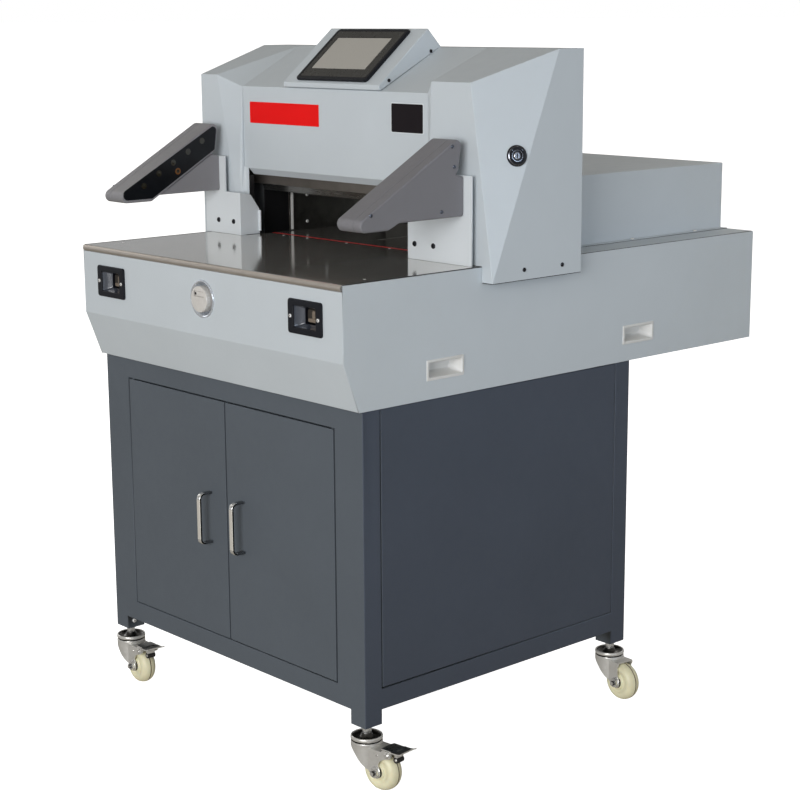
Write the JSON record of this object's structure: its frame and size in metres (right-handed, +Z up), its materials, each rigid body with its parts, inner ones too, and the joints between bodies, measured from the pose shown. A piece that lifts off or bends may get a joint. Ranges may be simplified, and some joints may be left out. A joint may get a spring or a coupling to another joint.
{
  "type": "guillotine paper cutter",
  "caption": "Free-standing electric guillotine paper cutter with touch console, light-barrier arms, steel table, sliding knife, clamp and back gauge on a castored two-door cabinet.",
  "frame": {"origin": "centre of the bounding box's footprint on the floor", "axes": "+X to the operator's right, +Y from the operator to the back of the machine, +Z up"},
  "size_m": [0.8998, 1.11, 1.3099],
  "materials": {
    "slate_paint": "satin powder coat",
    "pale_paint": "satin paint",
    "frame_paint": "matte paint",
    "table_steel": "polished",
    "tool_steel": "ground",
    "clamp_iron": "machined",
    "zinc_plate": "zinc plated",
    "brake_steel": "dark coat",
    "black_plastic": "satin",
    "window_black": "gloss",
    "cup_white": "satin",
    "arm_grey": "fine texture",
    "bracket_white": "satin",
    "chrome_trim": "polished",
    "satin_nickel": "satin",
    "wheel_cream": "satin",
    "key_brown": "satin",
    "screen_glass": "gloss",
    "plate_red": "printed",
    "plate_dark": "printed",
    "stick_red": "satin",
    "lock_metal": "satin",
    "unit_paint": "satin paint"
  },
  "bodies": {
    "machine": {"cabinet_frame": "slate_paint", "cabinet_panels": "slate_paint", "caster_stems": "zinc_plate", "bed_front_panel": "pale_paint", "bed_sides": "pale_paint", "bed_rear_panel": "pale_paint", "base_plate": "frame_paint", "work_table": "table_steel", "cutting_stick": "stick_red", "rear_deck": "pale_paint", "main_frame": "frame_paint", "left_column_cover": "pale_paint", "right_column_cover": "pale_paint", "head_cover": "pale_paint", "rear_cover": "pale_paint", "console_housing": "pale_paint", "touch_panel": "black_plastic", "touch_screen": "screen_glass", "arm_brackets": "bracket_white", "sensor_arms": "arm_grey", "arm_windows": "window_black", "arm_covers": "arm_grey", "handle_cups": "cup_white", "button_housings": "black_plastic", "handwheel_dish": "chrome_trim", "key_switch_ring": "black_plastic", "cover_screws": "zinc_plate", "red_plate": "plate_red", "dark_plate": "plate_dark", "guide_pins": "tool_steel", "drive_cylinders": "frame_paint", "gauge_rails": "tool_steel", "gauge_motor": "black_plastic", "hydraulic_unit": "unit_paint", "power_inlet": "black_plastic"},
    "knife": {"knife_beam": "tool_steel", "knife_blade": "tool_steel", "knife_bolts": "brake_steel"},
    "clamp": {"clamp_beam": "clamp_iron"},
    "gauge": {"back_gauge": "clamp_iron"},
    "screw": {"lead_screw": "tool_steel"},
    "hand_wheel": {"handwheel": "satin_nickel"},
    "wheel_tab": {"handwheel_tab": "satin_nickel"},
    "push_left": {"button_left": "key_brown"},
    "push_right": {"button_right": "key_brown"},
    "key_lock": {"key_barrel": "lock_metal"},
    "cabinet_door_left": {"door_left": "slate_paint", "door_handle_left": "satin_nickel"},
    "cabinet_door_right": {"door_right": "slate_paint", "door_handle_right": "satin_nickel"},
    "caster_fr": {"caster_fork_fr": "zinc_plate"},
    "roller_fr": {"wheel_fr": "wheel_cream"},
    "caster_fl": {"caster_fork_fl": "zinc_plate"},
    "roller_fl": {"wheel_fl": "wheel_cream"},
    "caster_rr": {"caster_fork_rr": "zinc_plate"},
    "roller_rr": {"wheel_rr": "wheel_cream"},
    "caster_rl": {"caster_fork_rl": "zinc_plate"},
    "roller_rl": {"wheel_rl": "wheel_cream"},
    "pedal_fr": {"brake_fr": "brake_steel"},
    "pedal_fl": {"brake_fl": "brake_steel"}
  },
  "joints": [
    {"name": "knife_slide", "type": "slide", "parent": "machine", "child": "knife", "axis": [0.2588, 0, -0.9659], "range_m": [0, 0.0885]},
    {"name": "clamp_slide", "type": "slide", "parent": "machine", "child": "clamp", "axis": [0, 0, -1], "range_m": [0, 0.085]},
    {"name": "gauge_slide", "type": "slide", "parent": "machine", "child": "gauge", "axis": [0, 1, 0], "range_m": [-0.235, 0.265]},
    {"name": "screw_spin", "type": "hinge", "parent": "machine", "child": "screw", "pos_m": [-0.05212, 0.154, 0.85], "axis": [0, 1, 0], "range_deg": [-8500, 9600]},
    {"name": "handwheel_spin", "type": "hinge", "parent": "machine", "child": "hand_wheel", "pos_m": [-0.02012, -0.549, 0.835], "axis": [0, 1, 0], "continuous": true},
    {"name": "tab_fold", "type": "hinge", "parent": "hand_wheel", "child": "wheel_tab", "pos_m": [-0.03162, -0.5532, 0.845], "axis": [0, 0, -1], "range_deg": [0, 90]},
    {"name": "button_press_left", "type": "slide", "parent": "machine", "child": "push_left", "axis": [0, 1, 0], "range_m": [0, 0.005], "stiffness_N_per_m": 500, "springref_m": -0.002},
    {"name": "button_press_right", "type": "slide", "parent": "machine", "child": "push_right", "axis": [0, 1, 0], "range_m": [0, 0.005], "stiffness_N_per_m": 500, "springref_m": -0.002},
    {"name": "key_turn", "type": "hinge", "parent": "machine", "child": "key_lock", "pos_m": [0.38888, -0.157, 1.0915], "axis": [0.9175, -0.3681, 0.1507], "range_deg": [0, 90]},
    {"name": "door_right_swing", "type": "hinge", "parent": "machine", "child": "cabinet_door_right", "pos_m": [0.28348, -0.497, 0.408], "axis": [0, 0, 1], "range_deg": [0, 105]},
    {"name": "door_left_swing", "type": "hinge", "parent": "machine", "child": "cabinet_door_left", "pos_m": [-0.32372, -0.497, 0.408], "axis": [0, 0, -1], "range_deg": [0, 105]},
    {"name": "swivel_fr", "type": "hinge", "parent": "machine", "child": "caster_fr", "pos_m": [0.34838, -0.484, 0.085], "axis": [0, 0, 1], "continuous": true},
    {"name": "roll_fr", "type": "hinge", "parent": "caster_fr", "child": "roller_fr", "pos_m": [0.38717, -0.47992, 0.0375], "axis": [-0.1045, 0.9945, 0], "continuous": true},
    {"name": "brake_press_fr", "type": "hinge", "parent": "caster_fr", "child": "pedal_fr", "pos_m": [0.41302, -0.47721, 0.075], "axis": [-0.1045, 0.9945, 0], "range_deg": [0, 11]},
    {"name": "swivel_fl", "type": "hinge", "parent": "machine", "child": "caster_fl", "pos_m": [-0.38862, -0.484, 0.085], "axis": [0, 0, 1], "continuous": true},
    {"name": "roll_fl", "type": "hinge", "parent": "caster_fl", "child": "roller_fl", "pos_m": [-0.34971, -0.48672, 0.0375], "axis": [0.0698, 0.9976, 0], "continuous": true},
    {"name": "brake_press_fl", "type": "hinge", "parent": "caster_fl", "child": "pedal_fl", "pos_m": [-0.32378, -0.48853, 0.075], "axis": [0.0698, 0.9976, 0], "range_deg": [0, 11]},
    {"name": "swivel_rr", "type": "hinge", "parent": "machine", "child": "caster_rr", "pos_m": [0.34838, 0.161, 0.085], "axis": [0, 0, 1], "continuous": true},
    {"name": "roll_rr", "type": "hinge", "parent": "caster_rr", "child": "roller_rr", "pos_m": [0.38723, 0.1576, 0.0375], "axis": [0.0872, 0.9962, 0], "continuous": true},
    {"name": "swivel_rl", "type": "hinge", "parent": "machine", "child": "caster_rl", "pos_m": [-0.38862, 0.161, 0.085], "axis": [0, 0, 1], "continuous": true},
    {"name": "roll_rl", "type": "hinge", "parent": "caster_rl", "child": "roller_rl", "pos_m": [-0.3501, 0.1671, 0.0375], "axis": [-0.1564, 0.9877, 0], "continuous": true}
  ],
  "couplings": [
    {"joint": "screw_spin", "follows": "gauge_slide", "rad_per_m": 628.32}
  ]
}
